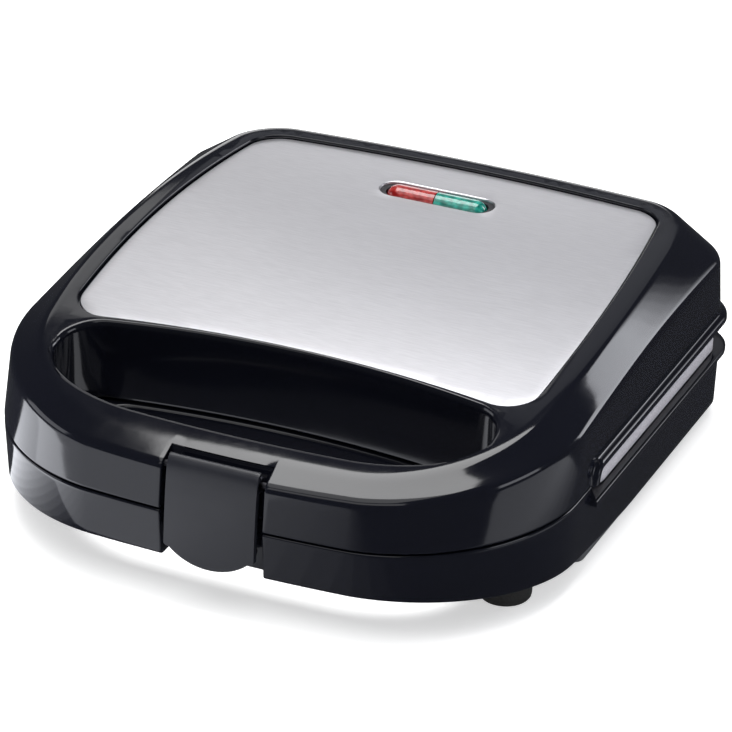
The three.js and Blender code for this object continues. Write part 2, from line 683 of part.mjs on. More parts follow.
place('base_housing', baseHousing(), glossBlack());
place('bottom_cover', bottomCover(), matteBlack());
place('lower_grill_plate', lowerPlate(), coatedPlate());
place('lower_heating_element', heatingElement(LOWER_ELEMENT_Z), elementSteel());
place('lower_reflector', reflector(17, 9), aluminium());
place('thermostat', thermostat(10.2), ceramic());
place('thermal_fuse', thermalFuse(13.4), brightSteel());
place('terminal_block', terminalBlock(), ceramic());
place('cord_gland', cordGland(), rubber());

place('latch', latch(), satinBlack());
place('latch_pin', latchPin(), brightSteel());
place('latch_catch', latchCatch(), matteBlack());

HINGE_X.forEach((x, i) => {
  const side = SIDES[i][0];
  place(`base_hinge_${side}`, baseHinge(x), satinBlack());
  place(`lid_hinge_${side}`, lidHinge(x), satinBlack());
  place(`hinge_pin_${side}`, hingePin(x), brightSteel());
});

[['front', FOOT_Y[0]], ['rear', FOOT_Y[1]]].forEach(([end, y]) => {
  SIDES.forEach(([side, sign]) => place(`foot_${end}_${side}`, foot(sign * FOOT_X, y), rubber()));
});
SIDES.forEach(([side, sign]) => place(`cord_rail_${side}`, cordRail(sign), matteBlack()));

[['upper', UPPER_ELEMENT_Z], ['lower', LOWER_ELEMENT_Z]].forEach(([deck, z]) => {
  place(`${deck}_terminal_front`, terminal(ELEMENT_FRONT, z), ceramic());
  place(`${deck}_terminal_rear`, terminal(ELEMENT_BACK, z), ceramic());
});

export default press;
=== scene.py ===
"""Looks for the panini press: smooth housings, plates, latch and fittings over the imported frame.

All sizes are in millimetres and become metres in make(). X points right, Y back and Z up.
"""
import math

import bmesh
import bpy
import numpy as np
from mathutils import Matrix, Vector
from mathutils.geometry import delaunay_2d_cdt


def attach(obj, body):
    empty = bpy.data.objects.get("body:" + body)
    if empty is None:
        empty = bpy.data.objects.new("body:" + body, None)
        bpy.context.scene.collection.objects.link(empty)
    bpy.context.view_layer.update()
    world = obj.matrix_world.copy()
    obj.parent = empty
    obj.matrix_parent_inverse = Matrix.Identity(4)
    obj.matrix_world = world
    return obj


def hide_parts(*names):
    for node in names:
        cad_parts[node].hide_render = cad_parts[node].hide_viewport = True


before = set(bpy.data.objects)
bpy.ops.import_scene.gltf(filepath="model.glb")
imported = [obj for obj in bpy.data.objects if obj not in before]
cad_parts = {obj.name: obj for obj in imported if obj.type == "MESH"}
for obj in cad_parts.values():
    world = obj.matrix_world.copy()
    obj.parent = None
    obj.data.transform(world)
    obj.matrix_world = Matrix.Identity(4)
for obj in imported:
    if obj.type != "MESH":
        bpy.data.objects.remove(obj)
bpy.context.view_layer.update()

MM = 0.001
ROUND_PULL = 0.5523  # how far a cubic curve's handles reach to make a quarter circle

# ---------------------------------------------------------------- driving dimensions

WALL = 2.6  # wall thickness of both housings
LID_EDGE = 37.1  # lower edge of the lid around the handle
BASE_EDGE = 36.3  # upper edge of the base around the handle
LID_RIM = 42.1  # underside of the lid's rim along the sides and the back
BASE_RIM = 30.8  # top of the base's rim
RIM_OUT = 2.5  # how far the rims stand out
JAMB_Y = -36.6  # where the lid's edge steps up behind the handle
BASE_STEP_Y = -38.6
JAMB_ROUND = 2.6

PANEL_SINK = 1.2  # the steel panel lies this far below the lid's frame
PANEL_THICKNESS = 0.8
PANEL_GROOVE = 0.9

RIDGE_ROUND = 2.6  # setback of the rounding between wall and bevel
CREST_ROUND = 2.6  # setback of the rounding between bevel and crown

NOTCH_HALF = 20.7
NOTCH_BACK = -115.0
NOTCH_FRONT_OF = -100  # only columns in front of this belong to the notch
NOTCH_ROUND = 0.6
LATCH_HALF = 18.2
LATCH_PIVOT = (-118.6, 53.6)
LATCH_BARREL = 3.2

INDICATOR_Y = 79.5
SLOT_HALF = 17.6
SLOT_RADIUS = 6.5
LENS_HALF = 16.4
LENS_RADIUS = 5.0

PLATE_HALF = 114.0
PLATE_FRONT = -31.3
PLATE_BACK = 99.0
PLATE_LIP = 8.0
RIB_COUNT = 13
HINGE_X = (-68.0, 68.0)
HINGE_ROOM = 15.5
HINGE_BEHIND = 100  # the rims make room for the hinges behind this

LID_HOLE_ROUND = 1.7  # rounding of the opening's lower edge in the lid
BASE_HOLE_ROUND = 2.0  # rounding of its upper edge in the base
BASE_LEAN = 1.2  # how far the base's wall leans in at its foot
FLOOR_HALF = 2500

FOOT_RADIUS = 10.0
FOOT_X = 93.3
FOOT_Y = (-67.3, 78.0)

WALL_LINE = dict(front=-124.2, front_bow=10.9, half_front=115.0, front_round=61.8,
                 half_back=115.0, back=109.5, back_bow=11.0, back_round=14.0, bulge=0.0)
BEVEL_LINE = dict(WALL_LINE, front=-122.3, front_bow=16.0, front_round=61.0, half_back=114.0, back_round=17.0)
FRAME_LINE = dict(front=-111.1, front_bow=6.0, half_front=92.2, front_round=44.1,
                  half_back=92.5, back=112.3, back_bow=5.2, back_round=16.1, bulge=12.0)
PANEL_LINE = dict(front=-47.1, front_bow=-9.2, half_front=93.5, front_round=14.7,
                  half_back=86.0, back=102.9, back_bow=5.0, back_round=10.9, bulge=5.1)
LID_HOLE_LINE = dict(front=-101.7, front_bow=5.0, half_front=89.0, front_round=44.0,
                     half_back=88.0, back=-59.5, back_bow=9.5, back_round=12.0, bulge=0.0)
BASE_HOLE_LINE = dict(front=-100.7, front_bow=4.0, half_front=78.0, front_round=38.0,
                      half_back=77.0, back=-58.0, back_bow=7.5, back_round=12.0, bulge=0.0)


def top_z(y):
    return 77.2 + 0.0824 * (y - 8) - 0.0006 * (y - 8) ** 2


def frame_z(y):
    return top_z(y) + PANEL_SINK


def bevel_z(y):
    return 65.5 + 0.0748 * (y + 22) - 0.0003 * (y + 22) ** 2 - 0.00012 * np.maximum(y, 0) ** 2


def bottom_z(y):
    run = np.clip((np.asarray(y) + 124.2) / 130, 0, 1)
    return 5.3 + 12 * (1 - run) ** 1.3


# ---------------------------------------------------------------- outlines

def quadratic(a, b, c, t):
    t = np.asarray(t)[:, None]
    return (1 - t) ** 2 * a + 2 * t * (1 - t) * b + t ** 2 * c


def corner(start, tip, end, count):
    """Points round a corner, without its last one."""
    t = (np.arange(count) / count)[:, None]
    first = start + ROUND_PULL * (tip - start)
    second = end + ROUND_PULL * (tip - end)
    return ((1 - t) ** 3 * start + 3 * t * (1 - t) ** 2 * first
            + 3 * t ** 2 * (1 - t) * second + t ** 3 * end)


def even(count):
    return np.arange(count) / count


# Shares of the side where columns are closer together, at the step behind the handle.
SIDE_STEPS = np.concatenate([np.arange(4) / 4 * 0.055, 0.055 + np.arange(44) / 44 * 0.085,
                             0.14 + even(34) * 0.86])
NOTCH_STEPS = [0, 4, 8, 12, 16, 20.7, 20.78, 20.9, 21.08, 21.3]


def outline(line, notch=(), front=22, front_corner=44, side=None, back_corner=20, back=40):
    """A closed outline seen from above, anticlockwise from the front of the centre line."""
    at = lambda x, y: np.array([x, y], float)
    front_mid = at(0, line["front"])
    front_tip = at(line["half_front"], line["front"] + line["front_bow"])
    back_tip = at(line["half_back"], line["back"])
    back_mid = at(0, line["back"] + line["back_bow"])
    flank = back_tip - front_tip
    length = np.hypot(*flank)
    outward = at(flank[1], -flank[0]) / length
    side_mid = (front_tip + back_tip) / 2 + outward * 2 * line["bulge"]
    front_pull = at(line["half_front"] / 2, line["front"])
    back_pull = at(line["half_back"] / 2, line["back"] + line["back_bow"])

    front_end = 1 - min(line["front_round"] / math.hypot(line["half_front"], line["front_bow"]), 0.95)
    side_start = min(line["front_round"] / length, 0.6)
    side_end = 1 - min(line["back_round"] / length, 0.35)
    back_start = min(line["back_round"] / line["half_back"], 0.9)
    on_front = lambda t: quadratic(front_mid, front_pull, front_tip, t)
    on_side = lambda t: quadratic(front_tip, side_mid, back_tip, t)
    on_back = lambda t: quadratic(back_tip, back_pull, back_mid, t)

    near = np.array(notch, float) / line["half_front"]
    first = near[-1] if len(near) else 0.0
    rest = first + (front_end - first) * (np.arange(front) + (1 if len(near) else 0)) / (front + 1)
    shares = even(40) if side is None else side
    right = np.concatenate([
        on_front(np.concatenate([near, rest])),
        corner(on_front([front_end])[0], front_tip, on_side([side_start])[0], front_corner),
        on_side(side_start + (side_end - side_start) * shares),
        corner(on_side([side_end])[0], back_tip, on_back([back_start])[0], back_corner),
        on_back(back_start + (1 - back_start) * even(back)),
        back_mid[None, :],
    ])
    left = right[-2:0:-1] * [-1, 1]
    return np.concatenate([right, left])


def outward_of(points):
    along = np.roll(points, -1, 0) - np.roll(points, 1, 0)
    along /= np.hypot(along[:, 0], along[:, 1])[:, None]
    return np.stack([along[:, 1], -along[:, 0]], 1)


def grow(points, distance):
    """The outline moved outwards, by one distance or by one for each point."""
    return points + outward_of(points) * np.broadcast_to(distance, len(points))[:, None]


def lift(points, z):
    return np.column_stack([points, np.broadcast_to(z, len(points))])


def rounded_rectangle(half, front, back, radius, count=10):
    points = []
    for cx, cy, start in ((half - radius, front + radius, -90), (half - radius, back - radius, 0),
                          (radius - half, back - radius, 90), (radius - half, front + radius, 180)):
        for a in np.radians(start + 90 * np.arange(count + 1) / count):
            points.append((cx + radius * math.cos(a), cy + radius * math.sin(a)))
    return np.array(points)


def capsule(half, radius, count=20):
    angles = np.radians(-90 + 180 * np.arange(count + 1) / count)
    right = np.column_stack([half + radius * np.cos(angles), radius * np.sin(angles)])
    return np.concatenate([right, -right]) + [0, INDICATOR_Y]


# ---------------------------------------------------------------- meshes

class Skin:
    """Vertices and faces in millimetres, collected row by row."""

    def __init__(self):
        self.points = []
        self.faces = []

    def row(self, points):
        start = len(self.points)
        self.points.extend(np.asarray(points, float).tolist())
        return np.arange(start, len(self.points))

    def bridge(self, lower, upper, closed=True, keep=None):
        """Quads between two rows of equal length. keep says which columns get one."""
        count = len(lower)
        for j in range(count if closed else count - 1):
            if keep is None or keep[j]:
                k = (j + 1) % count
                self.faces.append((lower[j], lower[k], upper[k], upper[j]))

    def stack(self, rows, closed=True, keep=None):
        """Rows one after another, joined. Returns the rows' indices."""
        made = [self.row(points) for points in rows]
        for lower, upper in zip(made, made[1:]):
            self.bridge(lower, upper, closed, keep)
        return made

    def fill(self, loops, height, step=(6.0, 3.0), up=True):
        """Triangles between loops of made points, the first one outside, at a height of x and y."""
        index = np.concatenate(loops)
        flat = np.array([self.points[i][:2] for i in index])
        edges = []
        start = 0
        for loop in loops:
            count = len(loop)
            edges += [(start + j, start + (j + 1) % count) for j in range(count)]
            start += count
        rings = [np.array([self.points[i][:2] for i in loop]) for loop in loops]
        low, high = rings[0].min(0), rings[0].max(0)
        xs = np.arange(low[0] + step[0] / 2, high[0], step[0])
        ys = np.arange(low[1] + step[1] / 2, high[1], step[1])
        grid = np.array([(x, y) for x in xs for y in ys]).reshape(-1, 2)
        grid = grid[inside(grid, rings)]
        away = np.array([np.min(np.hypot(*(flat - p).T)) for p in grid]) if len(grid) else np.zeros(0)
        grid = grid[away > min(step) * 0.45]
        every = np.concatenate([flat, grid])
        out = delaunay_2d_cdt([Vector(p) for p in every], edges, [], 0, 1e-5)
        places, triangles, origins = out[0], out[2], out[3]
        names = []
        for place, origin in zip(places, origins):
            known = [o for o in origin if o < len(index)]
            if known:
                names.append(index[known[0]])
            else:
                z = float(height(place.x, place.y))
                names.append(self.row([(place.x, place.y, z)])[0])
        middles = np.array([np.mean([places[i][:] for i in t], 0) for t in triangles])
        for t, good in zip(triangles, inside(middles, rings)):
            if good:
                face = [names[i] for i in t]
                self.faces.append(tuple(face if up else face[::-1]))


def inside(points, rings):
    """Which points lie inside the first ring and outside the others."""
    odd = np.zeros(len(points), bool)
    for ring in rings:
        nxt = np.roll(ring, -1, 0)
        for (x0, y0), (x1, y1) in zip(ring, nxt):
            crosses = (y0 > points[:, 1]) != (y1 > points[:, 1])
            with np.errstate(divide="ignore", invalid="ignore"):
                at = x0 + (points[:, 1] - y0) * (x1 - x0) / (y1 - y0)
            odd ^= crosses & (points[:, 0] < at)
    return odd


def make(name, skin, material, body, replaces=(), angle=40, merge=0.004):
    """The finished object, riding on its body."""
    mesh = bpy.data.meshes.new(name)
    mesh.from_pydata((np.array(skin.points) * MM).tolist(), [], [tuple(map(int, f)) for f in skin.faces])
    work = bmesh.new()
    work.from_mesh(mesh)
    bmesh.ops.remove_doubles(work, verts=work.verts, dist=merge * MM)
    bmesh.ops.dissolve_degenerate(work, edges=work.edges, dist=merge * MM / 2)
    bmesh.ops.recalc_face_normals(work, faces=work.faces)
    work.to_mesh(mesh)
    work.free()
    piece = bpy.data.objects.new(name, mesh)
    bpy.context.scene.collection.objects.link(piece)
    mesh.materials.append(material)
    mesh.shade_smooth()
    mesh.set_sharp_from_angle(angle=math.radians(angle))
    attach(piece, body)
    if replaces:
        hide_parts(*replaces)
    return piece


# ---------------------------------------------------------------- lid housing

def lower_edge(y):
    """Height of the lid's lower edge: low round the handle, with a rounded step up behind it."""
    y = np.asarray(y, float)
    into = np.clip(JAMB_Y + JAMB_ROUND - y, 0, JAMB_ROUND)
    stepped = LID_RIM - JAMB_ROUND + np.sqrt(np.maximum(JAMB_ROUND ** 2 - into ** 2, 0))
    return np.where(y < JAMB_Y, LID_EDGE, stepped)


# How far the rim's bead stands out at a distance from the edge that it follows.
BEAD = np.array([(0, 1.7), (0.12, 2.1), (0.35, 2.4), (0.6, 2.5), (2.2, 2.5), (2.6, 2.42), (2.95, 2.15),
                 (3.2, 1.7), (3.4, 1.15), (3.65, 0.62), (4.0, 0.25), (4.5, 0.05), (5.0, 0)])


def bead(distance, out=RIM_OUT):
    return np.interp(distance, BEAD[:, 0], BEAD[:, 1]) * out / RIM_OUT


def hinge_gap(points):
    """1 along the rim, fading to 0 where the hinges need room."""
    gap = np.ones(len(points))
    for x in HINGE_X:
        near = np.clip((np.abs(points[:, 0] - x) - HINGE_ROOM) / 0.8, 0, 1)
        gap = np.where(points[:, 1] > HINGE_BEHIND, gap * near, gap)
    return gap


def lid_bead(points, z):
    """Outward offset of the lid's wall at its bead, which turns down at the jamb."""
    y = points[:, 1]
    corner_y = JAMB_Y + JAMB_ROUND
    corner_z = LID_RIM - JAMB_ROUND
    in_corner = (y < corner_y) & (z > corner_z)
    round_off = np.hypot(y - corner_y, z - corner_z) - JAMB_ROUND
    distance = np.where(in_corner, round_off, np.where(y < corner_y, JAMB_Y - y, z - LID_RIM))
    return bead(np.maximum(distance, 0)) * hinge_gap(points)


def edge_round(depth, radius):
    """How far a surface draws back within a radius of an edge."""
    u = np.clip(1 - depth / radius, 0, 1)
    return radius * (1 - np.sqrt(1 - u ** 2))


def notch_round(points):
    """How far the wall draws back beside the notch, to round its upright edges."""
    front = points[:, 1] < NOTCH_FRONT_OF
    draw = edge_round(np.abs(points[:, 0]) - (NOTCH_STEPS[-1] - NOTCH_ROUND), NOTCH_ROUND)
    return np.where(front, draw, 0)


def notch_columns(wall):
    """Which columns lie in the notch, and which ones get a face."""
    near = (np.abs(wall[:, 0]) < NOTCH_HALF + 0.01) & (wall[:, 1] < NOTCH_FRONT_OF)
    return near, ~(near & np.roll(near, -1))


def notch_order(near):
    """The notch's columns from left to right."""
    count = len(near)
    left = [j for j in range(count // 2, count) if near[j]]
    return left + [j for j in range(count // 2) if near[j]]


def lid_rows(wall, ridge, crest):
    """The rows of the lid's outside, from its lower edge to the crown."""
    low = lower_edge(wall[:, 1])
    ridge_z = bevel_z(ridge[:, 1])
    crest_z = frame_z(crest[:, 1])
    draw = notch_round(wall)

    def wall_at(z, back=0.0):
        share = ((z - LID_EDGE) / (ridge_z - LID_EDGE))[:, None]
        flat = wall + (ridge - wall) * share
        return lift(grow(flat, lid_bead(wall, z) - draw - back), z)

    heights = np.concatenate([[0.06, 0.2, 0.42, 0.7], 1 + 0.45 * np.arange(22)])
    rows = [wall_at(low, 0.7)]
    rows += [wall_at(low + h, float(edge_round(np.array(h), 0.7))) for h in heights]
    ridge_point = lift(grow(ridge, -draw), ridge_z)
    crest_point = lift(crest, crest_z)
    wall_top = wall_at(ridge_z - 6)
    rows += [rows[-1] + (wall_top - rows[-1]) * s for s in (0.33, 0.66, 1)]
    down = unit(rows[-1] - ridge_point)
    along = unit(crest_point - ridge_point)
    rows += bend(ridge_point + down * RIDGE_ROUND, ridge_point, ridge_point + along * RIDGE_ROUND, 8)
    inner = grow(crest, -CREST_ROUND)
    inner = lift(inner, frame_z(inner[:, 1]))
    bevel_end = crest_point - along * CREST_ROUND
    rows += [rows[-1] + (bevel_end - rows[-1]) * s for s in (0.25, 0.5, 0.75)]
    before_crest = len(rows)
    rows += bend(bevel_end, crest_point, inner, 8)
    flat = grow(crest, -CREST_ROUND - 0.8)
    rows.append(lift(flat, frame_z(flat[:, 1])))
    return rows, before_crest


def unit(vectors):
    return vectors / np.linalg.norm(vectors, axis=1)[:, None]


def bend(start, tip, end, count):
    return [(1 - t) ** 2 * start + 2 * t * (1 - t) * tip + t ** 2 * end for t in np.linspace(0, 1, count)]


def lid_housing(material):
    skin = Skin()
    lines = [outline(line, NOTCH_STEPS, side=SIDE_STEPS) for line in (WALL_LINE, BEVEL_LINE, FRAME_LINE)]
    wall = lines[0]
    y = wall[:, 1]
    near, keep = notch_columns(wall)
    rows, before_crest = lid_rows(*lines)
    low = lower_edge(y)
    under = [lift(grow(wall, -WALL), low + 9), lift(grow(wall, -WALL), low), rows[0]]
    skin.stack(under, keep=keep)
    made = skin.stack(rows[:before_crest + 1], keep=keep)
    crest = skin.stack(rows[before_crest:])
    crown = crest[-1]
    lid_notch(skin, rows, near, made, crest)

    groove = outline(PANEL_LINE)
    floor = top_z(groove[:, 1]) - PANEL_THICKNESS - 0.3
    groove_rows = [lift(grow(groove, -3), floor), lift(grow(groove, PANEL_GROOVE), floor)]
    for depth in (0.3, 0.12, 0.03, 0):
        out = PANEL_GROOVE + float(edge_round(np.array(depth), 0.3))
        ring = grow(groove, out)
        groove_rows.append(lift(ring, frame_z(ring[:, 1]) - depth))
    groove_made = skin.stack(groove_rows)

    hole_made = skin.stack(handle_hole())
    skin.fill([crown, groove_made[-1], hole_made[-1]], lambda px, py: frame_z(py))
    return make("lid_shell", skin, material, "lid", ["lid_housing"])


def lid_notch(skin, rows, near, made, crest):
    """The finger notch over the latch: its back, and its two side walls."""
    order = notch_order(near)
    edge = crest[0][order]
    first = rows[len(made) - 1][order]
    slope = [(0.5, 0.35), (0.2, 1.0), (-3.2, 9.6), (-3.4, 11.0)]
    back = [np.column_stack([first[:, 0], first[:, 1] + dy - 0.5, first[:, 2] - dz]) for dy, dz in slope]
    foot_y = np.full(len(order), NOTCH_BACK)
    foot_z = np.full(len(order), LID_EDGE)
    back.append(np.column_stack([first[:, 0], foot_y, foot_z]))
    back.append(back[-1] + [0, WALL, 0])
    previous = edge
    for points in back:
        current = skin.row(points)
        skin.bridge(previous, current, closed=False)
        previous = current
    for side in (0, -1):
        j = order[side]
        outer = np.array([row[j] for row in rows[:len(made)]])
        back_line = np.array([points[side] for points in back[-2::-1]])
        inner_y = np.interp(outer[:, 2], back_line[:, 2], back_line[:, 1])
        inner = np.column_stack([outer[:, 0], np.maximum(inner_y, outer[:, 1]), outer[:, 2]])
        skin.stack([outer, (outer + inner) / 2, inner], closed=False)


def handle_hole():
    """Rows of the handle opening's wall, from its rounded lower edge to its rounded upper one."""
    edge = LID_EDGE
    hole = outline(LID_HOLE_LINE)
    toward_back = outward_of(hole)[:, 1]
    wide = 1.9 - 0.5 * toward_back
    deep = 2.6 + 0.6 * toward_back
    rows = [lift(grow(hole, WALL), edge + 6), lift(grow(hole, WALL), edge)]
    for a in np.radians([0, 18, 36, 54, 72, 90]):
        ring = grow(hole, LID_HOLE_ROUND * (1 - math.sin(a)))
        rows.append(lift(ring, edge + LID_HOLE_ROUND * (1 - math.cos(a))))
    top = frame_z(hole[:, 1])
    low = edge + LID_HOLE_ROUND
    rows += [lift(hole, low + (top - deep - edge - LID_HOLE_ROUND) * s) for s in (0.33, 0.66)]
    for a in np.radians([90, 76, 62, 48, 34, 22, 11, 0]):
        ring = grow(hole, wide * (1 - math.sin(a)))
        rows.append(lift(ring, frame_z(ring[:, 1]) - deep * (1 - math.cos(a))))
    return rows


# ---------------------------------------------------------------- base housing

def base_top(y):
    return np.where(np.asarray(y) < BASE_STEP_Y, BASE_EDGE, BASE_RIM)


def base_bead(points, z):
    """Outward offset of the base's rim, which starts square at the step."""
    distance = BASE_RIM - z
    shape = np.interp(distance, [-0.01, 0.05, 0.2, 0.45, 0.7, 2.4, 2.6, 2.7, 2.9],
                      [1.75, 2.0, 2.3, 2.46, 2.5, 2.5, 2.2, 0.3, 0])
    shape = np.where(distance < -0.02, 0, shape)
    return np.where(points[:, 1] > BASE_STEP_Y, shape, 0) * hinge_gap(points)


def base_housing(material):
    skin = Skin()
    wall = outline(WALL_LINE, NOTCH_STEPS, side=SIDE_STEPS)
    y = wall[:, 1]
    near, keep = notch_columns(wall)
    top = base_top(y)
    foot = bottom_z(y)
    draw = notch_round(wall)

    def wall_at(z, back=0.0):
        lean = BASE_LEAN * (BASE_EDGE - z) / (BASE_EDGE - foot)
        return lift(grow(wall, base_bead(wall, z) - lean - draw - back), z)

    inner = grow(wall, -BASE_LEAN - WALL)
    rows = [lift(inner, foot + 6), lift(inner, foot)]
    rows += [wall_at(foot + h, float(edge_round(np.array(h), 1.0))) for h in (0, 0.1, 0.35, 0.7, 1.0)]
    start = rows[-1][:, 2]
    end = BASE_RIM - 5
    rows += [wall_at(start + (end - start) * s) for s in (0.25, 0.5, 0.75, 1)]
    drops = [4.0, 3.2, 2.95, 2.85, 2.7, 2.6, 2.45, 2.0, 1.4, 0.8, 0.6, 0.42, 0.25, 0.12, 0.04, 0]
    tall = top - BASE_RIM
    scale = np.where(tall > 0, 1.0, 0.0)
    for drop in drops:
        z = top - drop - scale * (tall * drop / 5)
        rows.append(wall_at(z, float(edge_round(np.array(drop), 0.7))))
    made = skin.stack(rows, keep=keep)
    deck = skin.row(lift(grow(wall, -WALL), top))
    skin.bridge(made[-1], deck, keep=keep)
    skin.stack([lift(grow(wall, -WALL), top), lift(grow(wall, -WALL - 0.4), top - 0.4)], keep=keep)
    base_notch(skin, rows, near)

    hole_rows = base_hole()
    hole_made = skin.stack(hole_rows)
    base_deck(skin, wall, hole_made[-1], near)
    return make("base_shell", skin, material, "base", ["base_housing"])


def base_notch(skin, rows, near):
    order = notch_order(near)
    xs = rows[0][order][:, 0]
    low = bottom_z(NOTCH_BACK)
    face = lambda y, z: np.column_stack([xs, np.full(len(xs), y), np.full(len(xs), z)])
    skin.stack([face(NOTCH_BACK + WALL, low), face(NOTCH_BACK, low), face(NOTCH_BACK, low + 8),
                face(NOTCH_BACK, BASE_EDGE - 0.6), face(NOTCH_BACK + 0.2, BASE_EDGE - 0.15),
                face(NOTCH_BACK + 0.6, BASE_EDGE)], closed=False)
    for side in (0, -1):
        outer = np.array([row[order[side]] for row in rows[1:]])
        inner = outer.copy()
        inner[:, 1] = NOTCH_BACK
        skin.stack([outer, (outer + inner) / 2, inner], closed=False)


def base_hole():
    hole = outline(BASE_HOLE_LINE)
    foot = bottom_z(hole[:, 1])
    rows = [lift(grow(hole, WALL), foot + 5), lift(grow(hole, WALL), foot)]
    rows += [lift(grow(hole, 0.6), foot), lift(grow(hole, 0.15), foot + 0.15), lift(hole, foot + 0.6)]
    rows += [lift(hole, foot + (BASE_EDGE - BASE_HOLE_ROUND - foot) * s) for s in (0.33, 0.66)]
    for a in np.radians([90, 70, 50, 32, 16, 0]):
        ring = grow(hole, BASE_HOLE_ROUND * (1 - math.sin(a)))
        rows.append(lift(ring, BASE_EDGE - BASE_HOLE_ROUND * (1 - math.cos(a))))
    return rows


def base_deck(skin, wall, hole, near):
    """The base's upper side: high round the handle, lower behind the step."""
    inner = grow(wall, -WALL)
    count = len(wall)
    front = [j for j in range(count) if inner[j][1] < BASE_STEP_Y]
    right = [j for j in front if j < count // 2]
    left = [j for j in front if j >= count // 2]
    x_right = inner[right[-1]][0]
    x_left = inner[left[0]][0]
    edge = [(x, BASE_STEP_Y) for x in np.linspace(x_right, x_left, 24)]
    notch = [(-NOTCH_HALF, NOTCH_BACK + 0.6), (NOTCH_HALF, NOTCH_BACK + 0.6)]
    right_side = [tuple(inner[j]) for j in right if not near[j]]
    left_side = [tuple(inner[j]) for j in left if not near[j]]
    loop = np.array([notch[1], (NOTCH_HALF, right_side[0][1]), *right_side, *edge,
                     *left_side, (-NOTCH_HALF, left_side[-1][1]), notch[0]])
    high = skin.row(lift(loop, BASE_EDGE))
    skin.fill([high, hole], lambda px, py: BASE_EDGE)
    drop = np.array(edge)
    skin.stack([lift(drop + [0, 0.5], BASE_RIM), lift(drop + [0, 0.5], BASE_EDGE - 0.5),
                lift(drop + [0, 0.15], BASE_EDGE - 0.15), lift(drop, BASE_EDGE)], closed=False)
    back = np.array([inner[j] for j in range(count) if inner[j][1] >= BASE_STEP_Y])
    low = np.concatenate([back, [(x_left, BASE_STEP_Y + 0.5), (x_right, BASE_STEP_Y + 0.5)]])
    skin.fill([skin.row(lift(low, BASE_RIM))], lambda px, py: BASE_RIM, step=(12, 12))


# ---------------------------------------------------------------- steel panel and indicator

def top_panel(material):
    skin = Skin()
    edge = outline(PANEL_LINE)
    slot = capsule(SLOT_HALF, SLOT_RADIUS)
    outer = [lift(edge, top_z(edge[:, 1]) - PANEL_THICKNESS)]
    for depth in (0.4, 0.2, 0.08, 0.02, 0):
        ring = grow(edge, -float(edge_round(np.array(depth), 0.4)))
        outer.append(lift(ring, top_z(ring[:, 1]) - depth))
    rim = skin.stack(outer)
    inner = [lift(slot, top_z(slot[:, 1]) - 1.5)]
    for depth in (0.8, 0.5, 0.25, 0.08, 0):
        ring = grow(slot, float(edge_round(np.array(depth), 0.8)))
        inner.append(lift(ring, top_z(ring[:, 1]) - depth))
    mouth = skin.stack(inner)
    skin.fill([rim[-1], mouth[-1]], lambda px, py: top_z(py), step=(7, 4))
    piece = make("steel_panel", skin, material, "lid", ["top_panel"])
    brush_direction(piece)
    return piece


def brush_direction(piece):
    """A map whose first axis runs across the brushing, for the steel's tangent."""
    layer = piece.data.uv_layers.new(name="across")
    for loop in piece.data.loops:
        place = piece.data.vertices[loop.vertex_index].co
        layer.data[loop.index].uv = (place.y * 4 + 0.5, place.x * 4 + 0.5)


def lens(name, side, material, node):
    skin = Skin()
    angles = np.radians(-90 + 180 * np.arange(25) / 24)
    crown = top_z(INDICATOR_Y) - 3.4

    def ring(radius, z):
        arc = np.column_stack([LENS_HALF + radius * np.cos(angles), radius * np.sin(angles)])
        straight = np.linspace(0.175, LENS_HALF, 10)[:-1]
        low = np.column_stack([straight, np.full(9, -radius)])
        high = np.column_stack([straight[::-1], np.full(9, radius)])
        points = np.concatenate([low, arc, high])
        return lift(points * [side, 1] + [0, INDICATOR_Y], z)

    rows = [ring(LENS_RADIUS, crown - 2.6), ring(LENS_RADIUS, crown)]
    rows += [ring(LENS_RADIUS * math.cos(a) + 0.01, crown + LENS_RADIUS * math.sin(a))
             for a in np.radians(np.arange(6, 91, 6))]
    skin.stack(rows)
    return make(name, skin, material, "lid", [node])


# ---------------------------------------------------------------- latch

LATCH_SIDE = np.array([(-118.2, 58.3), (-118.9, 58.85), (-119.7, 58.95), (-120.6, 58.6), (-121.4, 57.8),
                       (-122.1, 56.4), (-122.6, 54.5), (-123.2, 51), (-124.0, 45), (-124.9, 36),
                       (-125.55, 27), (-125.85, 21), (-125.95, 17)])


def latch_outline(from_top):
    """The latch seen from the front, as x and distance down its face."""
    half = LATCH_HALF
    reach = lambda z: float(np.interp(-z, -LATCH_SIDE[:, 1], from_top))
    points = [(-half, 4.0 + 2 * s) for s in range(16)]
    corner_low = [(-half, 24.4), (-half + 0.3, 24.0), (-half + 1.0, 23.5), (-half + 2.4, 23.2)]
    tongue = [((1 - t) ** 2 * (-half + 2.4) + 2 * t * (1 - t) * -9,
               (1 - t) ** 2 * 23.2 + 2 * t * (1 - t) * 17.4 + t ** 2 * 17.4)
              for t in np.linspace(0.08, 1, 12)]
    low = [(x, reach(z)) for x, z in corner_low + tongue]
    start = [(-half + 1.2, 0.0), (-half + 0.5, 0.25), (-half + 0.1, 0.9), (-half, 2.0)]
    sides = [p for p in points if p[1] < low[0][1] - 1]
    left = start + sides + low
    right = [(-x, v) for x, v in left[::-1] if x < -1e-6]
    top = [(x, 0.0) for x in np.linspace(half - 1.2, -half + 1.2, 16)[1:-1]]
    return np.array(left + right + top)


